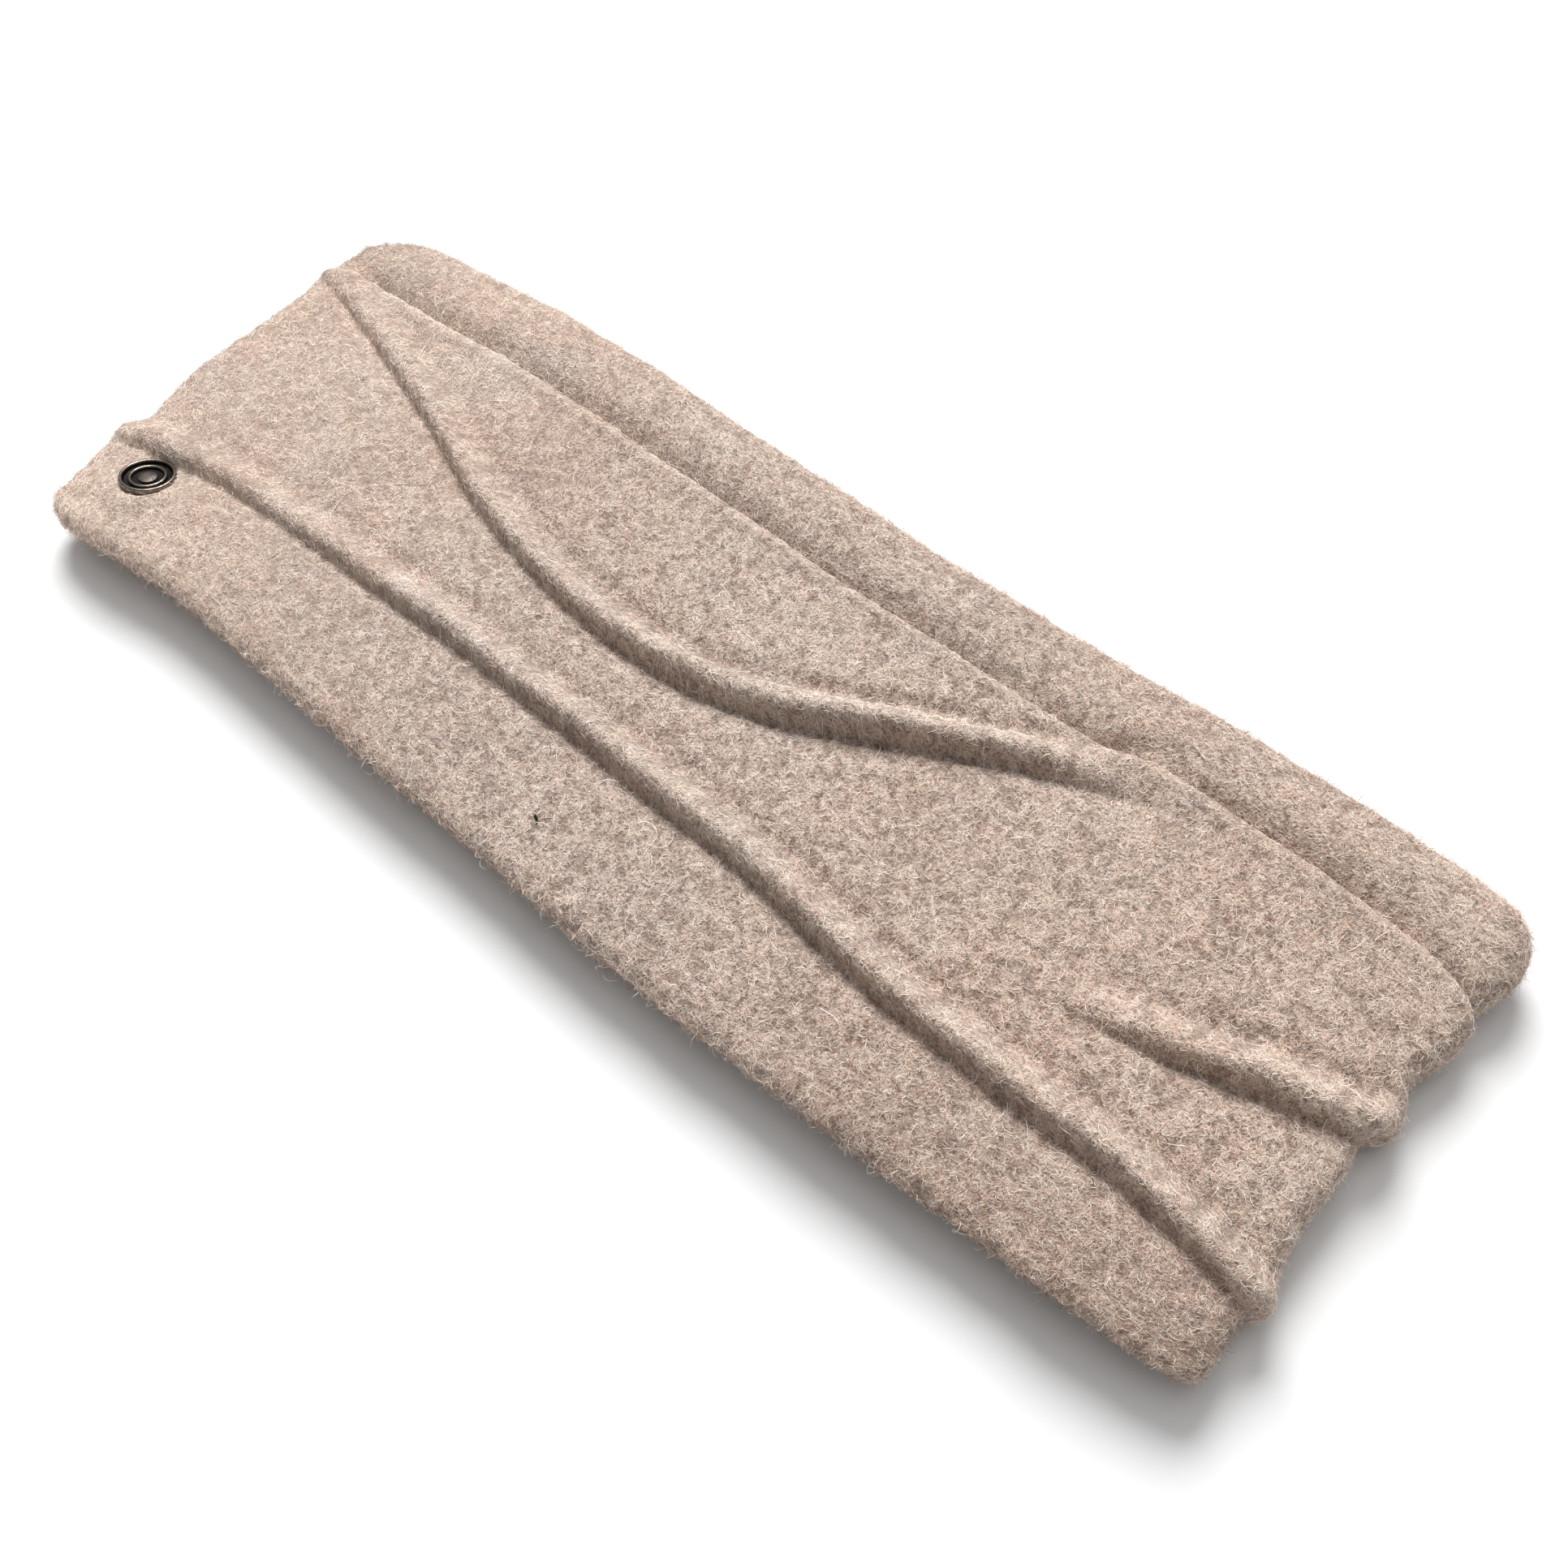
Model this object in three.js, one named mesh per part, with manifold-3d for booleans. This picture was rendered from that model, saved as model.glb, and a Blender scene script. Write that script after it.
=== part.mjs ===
// Wool headband lying folded flat, all sizes in millimetres.
// The band is one closed loop of lined cloth pressed flat: an outer surface that runs along the
// front (top) layer, around each end fold and back along the rear (bottom) layer.
// Every cloth piece is drawn unrolled, as a section extruded along the loop, and then wrapped.
// Unrolled coordinates: run = distance along the outer surface from the middle of the front,
// across = distance over the width, height = distance out of the outer surface.

import * as THREE from 'three';
import { mergeVertices } from 'three/addons/utils/BufferGeometryUtils.js';
import Module from 'manifold-3d';

const wasm = await Module();
wasm.setup();

// Driving dimensions of the band.
const halfLength = 125;
const halfWidth = 45.8;
const thickness = 14;
const gap = 0.3;
const woolThickness = 2.6;
const liningThickness = 1.4;
const hemWidth = 10;
const seamAcross = 28.6;
const lowerEdgeBow = 4.2;
const cornerRadius = 7;
const cornerDrawIn = 4.2;

// The pressed band thins towards its folds: each face draws in along a shallow curve.
const endDrop = 2.4;
const dropLength = 24.5;

// Lengths that follow from them.
const foldTilt = Math.atan(2 * endDrop / dropLength);
const foldRadius = (thickness / 2 - endDrop) / Math.cos(foldTilt);
const foldCentre = halfLength - foldRadius;
const foldStart = foldCentre + foldRadius * Math.sin(foldTilt);
const dropStart = foldStart - dropLength;
const foldLine = foldStart + foldRadius * (Math.PI / 2 - foldTilt);
const backSeam = 2 * foldLine;
const frontHinge = halfLength / 3;
const rearHinge = backSeam - frontHinge;
const layerThickness = woolThickness + gap + liningThickness;

// Raised tucks sewn into the front.
const tuckWidth = 7;
const tuckHeight = 3.4;
const tuckTail = 18;
const tuckBlunt = 4;
const tuckSmallest = 0.22;
const tuckFoldEnd = foldStart + foldRadius * (THREE.MathUtils.degToRad(62) - foldTilt);

// Metal badge by the left end.
const badge = { run: -105.7, across: -30.5, radius: 5, height: 1.5, sunk: 0.6 };
const badgeRimWidth = 0.7;
const badgePlateHeight = 0.7;
const badgePostRadius = 0.8;
const badgeWasherRadius = 3.6;
const badgeWasherHeight = 0.5;
const badgeRing = { radius: 3.1, tube: 0.3 };
const badgeDome = { radius: 1.7, shoulder: 1.35, shoulderHeight: 0.3, height: 0.45 };

// How finely curves are divided.
const roundSegments = 32;
const ringTubeSegments = 10;
const sectionCurveSegments = 7;
const panelFlatSteps = 3;
const narrowFlatSteps = 2;
const bisections = 30;

const woolColour = 0xb5a193;
const stripColour = 0xb09b8d;
const liningColour = 0xd8cdc0;
const metalColour = 0x5b544e;
const darkMetalColour = 0x2c2927;

const assembly = new THREE.Group();
assembly.name = 'wool_headband';

function cloth(colour) {
  return new THREE.MeshStandardMaterial({ color: colour, roughness: 0.95, metalness: 0 });
}

function metal(colour) {
  return new THREE.MeshStandardMaterial({ color: colour, roughness: 0.38, metalness: 0.9 });
}

function addPiece(name, geometry, material) {
  const mesh = new THREE.Mesh(geometry, material);
  mesh.name = name;
  assembly.add(mesh);
}

// How far a fold has turned the outer surface at a run position.
function foldTurn(run) {
  return foldTilt + (Math.abs(run) - foldStart) / foldRadius;
}

function isOnFold(run) {
  return Math.abs(run) > foldStart && Math.abs(run) < backSeam - foldStart;
}

// Plan position along the length of a point of the outer surface.
function planX(run) {
  const away = Math.abs(run);
  const side = Math.sign(run);
  if (isOnFold(run)) return side * (foldCentre + foldRadius * Math.sin(foldTurn(run)));
  return away <= foldStart ? run : side * (backSeam - away);
}

// The long edges draw in towards the folds: a shallow bow on the lower one, and round corners.
function edgeDrawIn(run, across) {
  const bow = across < 0 ? lowerEdgeBow * (planX(run) / halfLength) ** 2 : 0;
  const intoCorner = Math.max(0, Math.abs(planX(run)) - (halfLength - cornerRadius)) / cornerRadius;
  const corner = cornerDrawIn * (1 - Math.sqrt(1 - Math.min(1, intoCorner) ** 2));
  return (bow + corner) * (Math.abs(across) / halfWidth) ** 3;
}

// Puts an unrolled point onto the folded loop.
function wrap(run, across, height) {
  const y = across - Math.sign(across) * edgeDrawIn(run, across);
  const side = Math.sign(run);
  if (isOnFold(run)) {
    const turn = foldTurn(run);
    const radius = foldRadius + height;
    const x = side * (foldCentre + radius * Math.sin(turn));
    return [x, y, thickness / 2 + radius * Math.cos(turn)];
  }
  const x = planX(run);
  const into = Math.max(0, Math.abs(x) - dropStart) / dropLength;
  const outward = new THREE.Vector2(side * 2 * endDrop * into / dropLength, 1).normalize();
  const offMiddle = thickness / 2 - endDrop * into ** 2 + height * outward.y;
  const face = Math.abs(run) <= foldStart ? 1 : -1;
  return [x + height * outward.x, y, thickness / 2 + face * offMiddle];
}

// Run values between two ends: few steps on the flats, more where the faces draw in, most on a fold.
function runStations(from, to, flatSteps) {
  const drawInSteps = 4;
  const foldSteps = 6;
  const outer = [dropStart, foldStart, backSeam - foldStart, backSeam - dropStart];
  const bends = [...outer.map((bend) => -bend).reverse(), ...outer];
  const stops = [from, ...bends.filter((bend) => bend > from && bend < to), to];
  const stations = [from];
  for (let i = 1; i < stops.length; i += 1) {
    const middle = (stops[i] + stops[i - 1]) / 2;
    const onFlat = Math.abs(planX(middle)) < dropStart;
    const steps = onFlat ? flatSteps : (isOnFold(middle) ? foldSteps : drawInSteps);
    for (let k = 1; k <= steps; k += 1) {
      stations.push(THREE.MathUtils.lerp(stops[i - 1], stops[i], k / steps));
    }
  }
  return stations;
}

// Extrudes a section (x = across, y = height) over the stations and moves it onto the loop.
// place(run, across, height) may shift or scale the section on its way.
function sweepOnLoop(section, stations, place = (run, v, h) => [run, v, h]) {
  const steps = stations.length - 1;
  const options = { depth: 1, steps, bevelEnabled: false, curveSegments: sectionCurveSegments };
  const swept = new THREE.ExtrudeGeometry(section, options);
  swept.deleteAttribute('normal');
  swept.deleteAttribute('uv');
  const geometry = mergeVertices(swept, 1e-5);
  const position = geometry.getAttribute('position');
  for (let i = 0; i < position.count; i += 1) {
    const run = stations[Math.round(position.getZ(i) * steps)];
    position.setXYZ(i, ...wrap(...place(run, position.getX(i), position.getY(i))));
  }
  geometry.computeVertexNormals();
  return geometry;
}

// Wool from the seam down to the lower edge, where it is turned in as a hem.
function mainPanelSection() {
  const shape = new THREE.Shape();
  const edgeRadius = layerThickness / 2;
  const edgeCentre = -halfWidth + edgeRadius;
  const top = seamAcross - gap / 2;
  const softening = 1;
  shape.moveTo(-halfWidth + hemWidth, -woolThickness);
  shape.lineTo(-halfWidth + hemWidth, -layerThickness);
  shape.lineTo(edgeCentre, -layerThickness);
  shape.absarc(edgeCentre, -edgeRadius, edgeRadius, -Math.PI / 2, Math.PI / 2, true);
  shape.lineTo(top - softening, 0);
  shape.quadraticCurveTo(top, 0, top, -softening);
  shape.lineTo(top, -woolThickness);
  shape.closePath();
  return shape;
}

// Separate upper strip, slightly domed like a soft roll, turned in at the upper edge.
function stripSection() {
  const shape = new THREE.Shape();
  const edgeRadius = layerThickness / 2;
  const edgeCentre = halfWidth - edgeRadius;
  const bottom = seamAcross + gap / 2;
  const softening = 1.2;
  shape.moveTo(bottom, -woolThickness);
  shape.lineTo(bottom, -softening);
  shape.quadraticCurveTo(bottom, 0, bottom + softening, 0);
  shape.lineTo(edgeCentre, 0);
  shape.absarc(edgeCentre, -edgeRadius, edgeRadius, Math.PI / 2, -Math.PI / 2, true);
  shape.lineTo(halfWidth - hemWidth, -layerThickness);
  shape.lineTo(halfWidth - hemWidth, -woolThickness);
  shape.closePath();
  return shape;
}

function liningSection() {
  const edge = halfWidth - hemWidth - gap;
  const shape = new THREE.Shape();
  shape.moveTo(-edge, -layerThickness);
  shape.lineTo(edge, -layerThickness);
  shape.lineTo(edge, -woolThickness - gap);
  shape.lineTo(-edge, -woolThickness - gap);
  shape.closePath();
  return shape;
}

function tuckSection() {
  const shape = new THREE.Shape();
  shape.moveTo(-tuckWidth / 2, 0);
  shape.lineTo(tuckWidth / 2, 0);
  shape.absellipse(0, 0, tuckWidth / 2, tuckHeight, 0, Math.PI, false, 0);
  shape.closePath();
  return shape;
}

// The seven stretches of the loop between hinge lines, from one side of the back seam to the other.
const stretches = [
  { name: 'rear_middle_left', from: -backSeam, to: -rearHinge },
  { name: 'rear_left', from: -rearHinge, to: -foldLine },
  { name: 'front_left', from: -foldLine, to: -frontHinge },
  { name: 'front_middle', from: -frontHinge, to: frontHinge },
  { name: 'front_right', from: frontHinge, to: foldLine },
  { name: 'rear_right', from: foldLine, to: rearHinge },
  { name: 'rear_middle_right', from: rearHinge, to: backSeam },
];

function stretchStations(stretch, flatSteps) {
  return runStations(stretch.from + gap / 2, stretch.to - gap / 2, flatSteps);
}

// Centre line of each tuck over the run, and the stretch of run it covers.
const tuckA = {
  name: 'tuck_a',
  from: -tuckFoldEnd,
  to: 62,
  tails: [false, true],
  line: new THREE.SplineCurve([
    new THREE.Vector2(-130, 29),
    new THREE.Vector2(-105, 22.6),
    new THREE.Vector2(-52, 4.6),
    new THREE.Vector2(-8, -2.6),
    new THREE.Vector2(34, 9.8),
    new THREE.Vector2(66, 25),
  ]),
};
const tuckB = {
  name: 'tuck_b',
  from: -tuckFoldEnd,
  to: tuckFoldEnd,
  tails: [false, false],
  line: new THREE.SplineCurve([
    new THREE.Vector2(-130, -24.5),
    new THREE.Vector2(-106, -20.6),
    new THREE.Vector2(0, -20.9),
    new THREE.Vector2(106, -22.9),
    new THREE.Vector2(130, -28),
  ]),
};
const tuckC = {
  name: 'tuck_c',
  from: 86,
  to: tuckFoldEnd,
  tails: [true, false],
  line: new THREE.SplineCurve([
    new THREE.Vector2(80, -9.4),
    new THREE.Vector2(100, -5.6),
    new THREE.Vector2(130, 4.6),
  ]),
};

// Across position of a tuck at a run position: its line always moves towards positive run.
function lineAcross(line, run) {
  let low = 0;
  let high = 1;
  for (let i = 0; i < bisections; i += 1) {
    const middle = (low + high) / 2;
    if (line.getPoint(middle).x < run) low = middle;
    else high = middle;
  }
  return line.getPoint(low).y;
}

// Tucks fade out over a tail, or end in a short blunt slope where they meet a fold.
function tuckSwell(tuck, run) {
  const fromEnd = (run - tuck.from) / (tuck.tails[0] ? tuckTail : tuckBlunt);
  const toEnd = (tuck.to - run) / (tuck.tails[1] ? tuckTail : tuckBlunt);
  const nearer = THREE.MathUtils.clamp(Math.min(fromEnd, toEnd), 0, 1);
  return THREE.MathUtils.lerp(tuckSmallest, 1, Math.sin(nearer * Math.PI / 2));
}

function tuckGeometry(tuck, from, to) {
  const stepLength = 6;
  const flatLength = Math.min(to, dropStart) - Math.max(from, -dropStart);
  const flatSteps = Math.max(2, Math.round(flatLength / stepLength));
  const place = (run, across, height) => {
    const swell = tuckSwell(tuck, run);
    return [run, lineAcross(tuck.line, run) + across * swell, gap + height * swell];
  };
  return sweepOnLoop(tuckSection(), runStations(from, to, flatSteps), place);
}

function addTuck(tuck) {
  for (const stretch of stretches) {
    const from = Math.max(tuck.from, stretch.from + gap / 2);
    const to = Math.min(tuck.to, stretch.to - gap / 2);
    if (to > from) {
      const name = `${tuck.name}_${stretch.name}`;
      addPiece(name, tuckGeometry(tuck, from, to), cloth(woolColour));
    }
  }
}

function toManifold(geometry) {
  const bare = new THREE.BufferGeometry();
  bare.setAttribute('position', geometry.getAttribute('position').clone());
  bare.setIndex(geometry.getIndex() ? geometry.getIndex().clone() : null);
  const merged = mergeVertices(bare, 1e-4);
  return new wasm.Manifold(new wasm.Mesh({
    numProp: 3,
    vertProperties: new Float32Array(merged.getAttribute('position').array),
    triVerts: new Uint32Array(merged.getIndex().array),
  }));
}

function fromManifold(solid) {
  const mesh = solid.getMesh();
  const geometry = new THREE.BufferGeometry();
  geometry.setAttribute('position', new THREE.BufferAttribute(new Float32Array(mesh.vertProperties), 3));
  geometry.setIndex(new THREE.BufferAttribute(new Uint32Array(mesh.triVerts), 1));
  geometry.computeVertexNormals();
  return geometry;
}

// Moves a piece drawn about the origin, with the wool's outer surface at z = 0, to the badge.
function placeAtBadge(geometry) {
  const surface = new THREE.Vector3(...wrap(badge.run, badge.across, 0));
  const above = new THREE.Vector3(...wrap(badge.run, badge.across, 1));
  const outward = above.sub(surface).normalize();
  const tilt = new THREE.Quaternion().setFromUnitVectors(new THREE.Vector3(0, 0, 1), outward);
  geometry.applyQuaternion(tilt);
  geometry.translate(surface.x, surface.y, surface.z);
  return geometry;
}

// Solid of revolution at the badge: profile is a closed list of [radius, z].
function turned(profile) {
  const points = profile.map(([radius, z]) => new THREE.Vector2(radius, z));
  const geometry = new THREE.LatheGeometry([...points, points[0].clone()], roundSegments);
  geometry.rotateX(Math.PI / 2);
  return placeAtBadge(geometry);
}

function disc(radius, bottom, top) {
  const geometry = new THREE.CylinderGeometry(radius, radius, top - bottom, roundSegments);
  geometry.rotateX(Math.PI / 2);
  geometry.translate(0, 0, (top + bottom) / 2);
  return placeAtBadge(geometry);
}

// Heights of the badge parts out of the wool, from the washer behind it up to the rim.
const badgeBottom = -badge.sunk;
const badgeTop = badgeBottom + badge.height;
const washerBottom = -woolThickness;
const washerTop = washerBottom + badgeWasherHeight;

// Seat in the wool for the badge above, its post and the washer below.
function badgeSeat() {
  const clear = 1;
  const above = disc(badge.radius + gap, badgeBottom - gap, badgeTop + clear);
  const hole = disc(badgePostRadius + gap, washerBottom - clear, badgeTop);
  const below = disc(badgeWasherRadius + gap, washerBottom - clear, washerTop + gap);
  return toManifold(above).add(toManifold(hole)).add(toManifold(below));
}

function addClothLayers() {
  for (const stretch of stretches) {
    let panel = sweepOnLoop(mainPanelSection(), stretchStations(stretch, panelFlatSteps));
    if (stretch.name === 'front_left') {
      panel = fromManifold(toManifold(panel).subtract(badgeSeat()));
    }
    addPiece(`wool_panel_${stretch.name}`, panel, cloth(woolColour));
    const narrowStations = stretchStations(stretch, narrowFlatSteps);
    const strip = sweepOnLoop(stripSection(), narrowStations);
    addPiece(`upper_strip_${stretch.name}`, strip, cloth(stripColour));
    const lining = sweepOnLoop(liningSection(), narrowStations);
    addPiece(`lining_${stretch.name}`, lining, cloth(liningColour));
  }
}

// Dished badge cup with a raised rim, a plain domed centre with a ring, and its fixing.
function addBadge() {
  const inner = badge.radius - badgeRimWidth;
  const floor = badgeBottom + badgePlateHeight;
  const round = 0.3;
  addPiece('badge_cup', turned([
    [badgePostRadius + gap, badgeBottom],
    [badge.radius - round, badgeBottom],
    [badge.radius, badgeBottom + round],
    [badge.radius, badgeTop - round],
    [badge.radius - round, badgeTop],
    [inner + round / 2, badgeTop],
    [inner, badgeTop - round / 2],
    [inner, floor],
    [badgePostRadius + gap, floor],
  ]), metal(darkMetalColour));
  const neckTop = floor + gap / 2;
  addPiece('badge_centre_rivet', turned([
    [0, washerBottom],
    [badgePostRadius, washerBottom],
    [badgePostRadius, neckTop],
    [badgeDome.radius, neckTop],
    [badgeDome.shoulder, neckTop + badgeDome.shoulderHeight],
    [0, neckTop + badgeDome.height],
  ]), metal(metalColour));
  const ring = new THREE.TorusGeometry(badgeRing.radius, badgeRing.tube, ringTubeSegments, roundSegments);
  ring.translate(0, 0, floor + badgeRing.tube + gap / 2);
  addPiece('badge_ring', placeAtBadge(ring), metal(metalColour));
  addPiece('badge_washer', turned([
    [badgePostRadius + gap, washerBottom],
    [badgeWasherRadius, washerBottom],
    [badgeWasherRadius, washerTop],
    [badgePostRadius + gap, washerTop],
  ]), metal(metalColour));
}

addClothLayers();
addTuck(tuckA);
addTuck(tuckB);
addTuck(tuckC);
addBadge();

export default assembly;
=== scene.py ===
"""A felted wool headband lying folded flat: cloth relief, fibres, badge, light and camera.

The cloth is worked out unrolled and then wrapped onto the folded loop, as the frame is:
run = distance along the outer surface from the middle of the front, across = distance over
the width, height = distance out of the outer surface. Lengths are in millimetres until a mesh
is made, and metres from there on.
"""
import math
import bmesh
import bpy
import numpy as np
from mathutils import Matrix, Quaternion, Vector


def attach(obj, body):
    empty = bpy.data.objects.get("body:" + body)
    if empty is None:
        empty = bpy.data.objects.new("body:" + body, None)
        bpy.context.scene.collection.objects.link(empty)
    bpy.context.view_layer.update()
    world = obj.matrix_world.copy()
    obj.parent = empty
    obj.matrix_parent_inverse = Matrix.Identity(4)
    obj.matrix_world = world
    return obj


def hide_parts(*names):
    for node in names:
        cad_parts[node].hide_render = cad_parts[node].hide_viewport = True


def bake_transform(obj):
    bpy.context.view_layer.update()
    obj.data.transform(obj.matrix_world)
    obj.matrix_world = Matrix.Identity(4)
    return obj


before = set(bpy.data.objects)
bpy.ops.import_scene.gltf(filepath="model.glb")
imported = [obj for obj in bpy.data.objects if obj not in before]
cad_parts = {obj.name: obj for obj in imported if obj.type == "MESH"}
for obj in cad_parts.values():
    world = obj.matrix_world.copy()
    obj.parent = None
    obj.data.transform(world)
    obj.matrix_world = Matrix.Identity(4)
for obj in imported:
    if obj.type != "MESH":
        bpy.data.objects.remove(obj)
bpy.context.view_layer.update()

MM = 0.001
SEED = 7

# Sizes shared with the frame.
HALF_LENGTH = 125.0
HALF_WIDTH = 45.8
THICKNESS = 14.0
WOOL = 2.6
LAYER = 4.3
HEM = 10.0
SEAM = 28.6
END_DROP = 2.4
DROP_LENGTH = 24.5
FOLD_TILT = math.atan(2 * END_DROP / DROP_LENGTH)
FOLD_RADIUS = (THICKNESS / 2 - END_DROP) / math.cos(FOLD_TILT)
FOLD_CENTRE = HALF_LENGTH - FOLD_RADIUS
FOLD_START = FOLD_CENTRE + FOLD_RADIUS * math.sin(FOLD_TILT)
DROP_START = FOLD_START - DROP_LENGTH
FOLD_LINE = FOLD_START + FOLD_RADIUS * (math.pi / 2 - FOLD_TILT)
BACK_SEAM = 2 * FOLD_LINE
KNEE = HALF_LENGTH / 3
EDGE_RADIUS = LAYER / 2
TABLE_GAP = 0.12

# The badge: its place, the radius of its rim, the heights of its underside, inner floor and rim
# out of the cloth's plain surface, and how far it leans over the width. BADGE_SEAT is how high
# the wool stands around it.
BADGE = {"run": -105.7, "across": -30.5, "radius": 5.0, "bottom": -0.6, "floor": 0.0, "top": 0.9,
         "lean": math.radians(16)}
BADGE_SEAT = 0.35

# How far the cloth takes to bend over a hinge line, each way.
FOLD_REACH = 15.0
KNEE_REACH = 24.0


# ---------------------------------------------------------------- noise
def lattice(ix, iy, seed):
    """A fixed random value from 0 to 1 for every whole-number place."""
    n = (ix.astype(np.int64) * 374761393 + iy.astype(np.int64) * 668265263 + seed * 974711) & 0xFFFFFFFF
    n = ((n ^ (n >> 13)) * 1274126177) & 0xFFFFFFFF
    return ((n ^ (n >> 16)) & 0xFFFF) / 65535.0


def noise(x, y, size, seed):
    """Smooth noise from -1 to 1 whose lumps are about size across."""
    u, v = x / size, y / size
    iu, iv = np.floor(u), np.floor(v)
    fu, fv = u - iu, v - iv
    fu = fu * fu * (3 - 2 * fu)
    fv = fv * fv * (3 - 2 * fv)
    low = lattice(iu, iv, seed) * (1 - fu) + lattice(iu + 1, iv, seed) * fu
    high = lattice(iu, iv + 1, seed) * (1 - fu) + lattice(iu + 1, iv + 1, seed) * fu
    return 2 * (low * (1 - fv) + high * fv) - 1


def smooth(x, low, high):
    t = np.clip((x - low) / (high - low), 0, 1)
    return t * t * (3 - 2 * t)


# ---------------------------------------------------------------- the folded loop
def smooth_line(points):
    """A function giving a smooth curve through (place, value) points."""
    places = np.array([p[0] for p in points], float)
    values = np.array([p[1] for p in points], float)
    slopes = np.gradient(values, places)

    def value(place):
        p = np.clip(place, places[0], places[-1])
        i = np.clip(np.searchsorted(places, p) - 1, 0, len(places) - 2)
        gap = places[i + 1] - places[i]
        t = (p - places[i]) / gap
        near = (2 * t**3 - 3 * t**2 + 1) * values[i] + (t**3 - 2 * t**2 + t) * gap * slopes[i]
        return near + (-2 * t**3 + 3 * t**2) * values[i + 1] + (t**3 - t**2) * gap * slopes[i + 1]

    return value


# Half widths of the band along its length, above and below the middle line, and where the
# seam runs.
UPPER_EDGE = smooth_line([(-128, 33), (-123, 36.5), (-117, 40), (-108, 41.6), (-96, 42.6),
                          (-60, 44.1), (-20, 43.0), (42, 42.4), (77, 43.3), (110, 43.2),
                          (119, 43.2), (124, 42.6), (128, 41)])
LOWER_EDGE = smooth_line([(-128, 42.8), (-120, 44.7), (-106, 44.6), (-84, 43), (-55, 43.7), (-20, 44.4),
                          (26, 45.6), (64, 44.3), (88, 43.3), (110, 42.3), (121, 41.2), (128, 40.0)])
# How far each end draws in, by across, and how much narrower the rear layer lies.
END_DRAW_IN = {
    -1: smooth_line([(-46, 5.0), (-43, 3.8), (-39, 3.2), (-33, 2.3), (-26, 1.6), (-20, 2.2),
                     (-14, 1.2), (-8, 0.9), (4, 0.4), (20, 0.9), (26, 1.0), (33, 2.2), (37, 3.6),
                     (41, 3.4), (46, 5.5)]),
    1: smooth_line([(-46, 0.9), (-40, 0.2), (-35, 0.1), (0, 0.3), (30, 0), (41, 0), (46, 0.8)]),
}
REAR_INSET = 1.8
SEAM_LINE = smooth_line([(-140, 28.4), (-110, 29.4), (-94, 29.2), (-72, 29.9), (-40, 29.7), (-14, 29.4),
                         (4, 28.5), (24, 29.0), (52, 28.8), (60, 29.2), (67, 30.6), (84, 30.7), (104, 30.4),
                         (116, 29.4), (124, 27.4), (140, 26)])


def plan_x(run):
    away = np.abs(run)
    turn = np.clip(FOLD_TILT + (away - FOLD_START) / FOLD_RADIUS, 0, math.pi)
    on_fold = (away > FOLD_START) & (away < BACK_SEAM - FOLD_START)
    flat = np.where(away <= FOLD_START, away, BACK_SEAM - away)
    return np.sign(run) * np.where(on_fold, FOLD_CENTRE + FOLD_RADIUS * np.sin(turn), flat)


def draw_in(run, across):
    """How far the long edges draw in from the full width at each place."""
    x = plan_x(run)
    reach = np.where(across < 0, LOWER_EDGE(x), UPPER_EDGE(x))
    inset = REAR_INSET * smooth(np.abs(run), FOLD_LINE - 6, FOLD_LINE + 14)
    return (HALF_WIDTH - reach + inset) * (np.abs(across) / HALF_WIDTH) ** 3


def end_draw_in(x, across):
    """How far towards the middle the ends lie, fading out along the length."""
    amount = np.where(x < 0, END_DRAW_IN[-1](across), END_DRAW_IN[1](across))
    return np.sign(x) * amount * smooth(np.abs(x), 88, 124)


def wrap(run, across, height):
    """Unrolled points, in mm, to points of the folded loop, in mm, resting on the table."""
    side = np.sign(run)
    y = across - np.sign(across) * draw_in(run, across)
    away = np.abs(run)
    on_fold = (away > FOLD_START) & (away < BACK_SEAM - FOLD_START)
    turn = np.clip(FOLD_TILT + (away - FOLD_START) / FOLD_RADIUS, 0, math.pi)
    radius = FOLD_RADIUS + height
    fold_x = side * (FOLD_CENTRE + radius * np.sin(turn))
    fold_z = THICKNESS / 2 + radius * np.cos(turn)
    x = plan_x(run)
    into = np.clip((np.abs(x) - DROP_START) / DROP_LENGTH, 0, None)
    lean = 2 * END_DROP * into / DROP_LENGTH
    length = np.sqrt(1 + lean**2)
    face = np.where(away <= FOLD_START, 1.0, -1.0)
    flat_x = x + height * side * lean / length
    flat_z = THICKNESS / 2 + face * (THICKNESS / 2 - END_DROP * into**2 + height / length)
    z = np.where(on_fold, fold_z, flat_z)
    pressed = TABLE_GAP * np.exp(np.clip(z - TABLE_GAP, None, 0) / TABLE_GAP)
    shaped_x = np.where(on_fold, fold_x, flat_x) - end_draw_in(x, across)
    return np.stack([shaped_x, y, np.maximum(z, pressed)], -1)


# ---------------------------------------------------------------- relief of the cloth
def tuck_path(points):
    """Curves of centre line, half width and height, by run, from (run, across, half width, height)."""
    return {name: smooth_line([(p[0], p[k + 1]) for p in points])
            for k, name in enumerate(("line", "reach", "height"))}


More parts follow.
